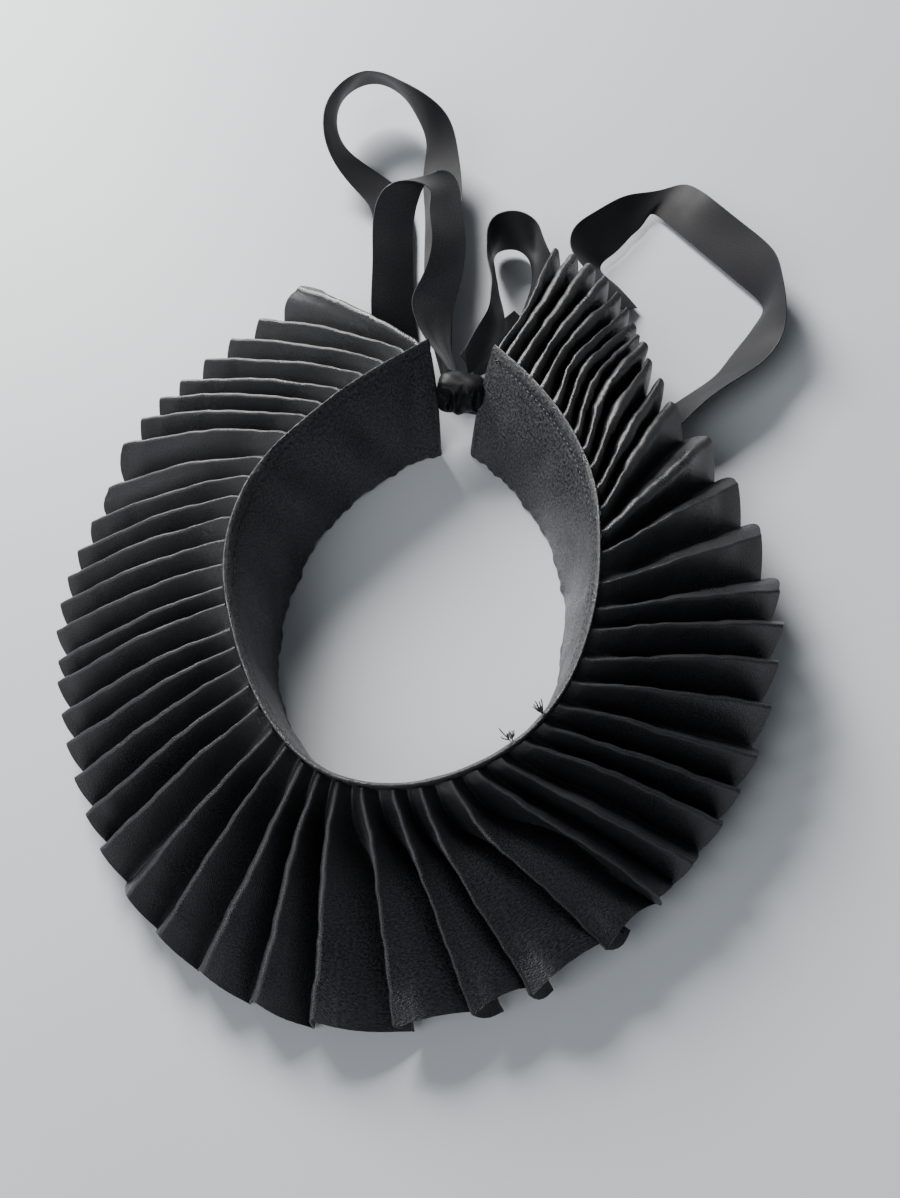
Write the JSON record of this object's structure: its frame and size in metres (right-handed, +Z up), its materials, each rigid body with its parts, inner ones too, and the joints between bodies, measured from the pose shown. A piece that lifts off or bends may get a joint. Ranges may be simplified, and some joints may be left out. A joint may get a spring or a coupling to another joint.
{
  "type": "detachable ruff collar",
  "caption": "Detachable black satin ruff collar: a standing neck band with a flaring accordion-pleated frill on its top edge, open at the back and tied with satin ribbon in a bow.",
  "frame": {"origin": "middle of the bounding box in plan, on the surface that the foot of the neck band stands on", "axes": "+Z up, from the foot of the neck band to its seam; +Y towards the back opening and the bow; +X to the right seen from the front of the collar, looking at its back opening"},
  "size_m": [0.2503, 0.4269, 0.0493],
  "materials": {
    "band_satin": "dull satin, crepe side inwards",
    "pleated_satin": "satin with sharp pressed pleats",
    "ribbon": "glossy satin ribbon with woven edges"
  },
  "bodies": {
    "root": {"neck_band": "band_satin", "pleated_frill": "pleated_satin", "bow_loop_left": "ribbon", "bow_loop_right": "ribbon", "tie_loop_far": "ribbon", "tie_stretch": "ribbon", "tie_tail": "ribbon", "tie_knot": "ribbon"}
  },
  "joints": []
}
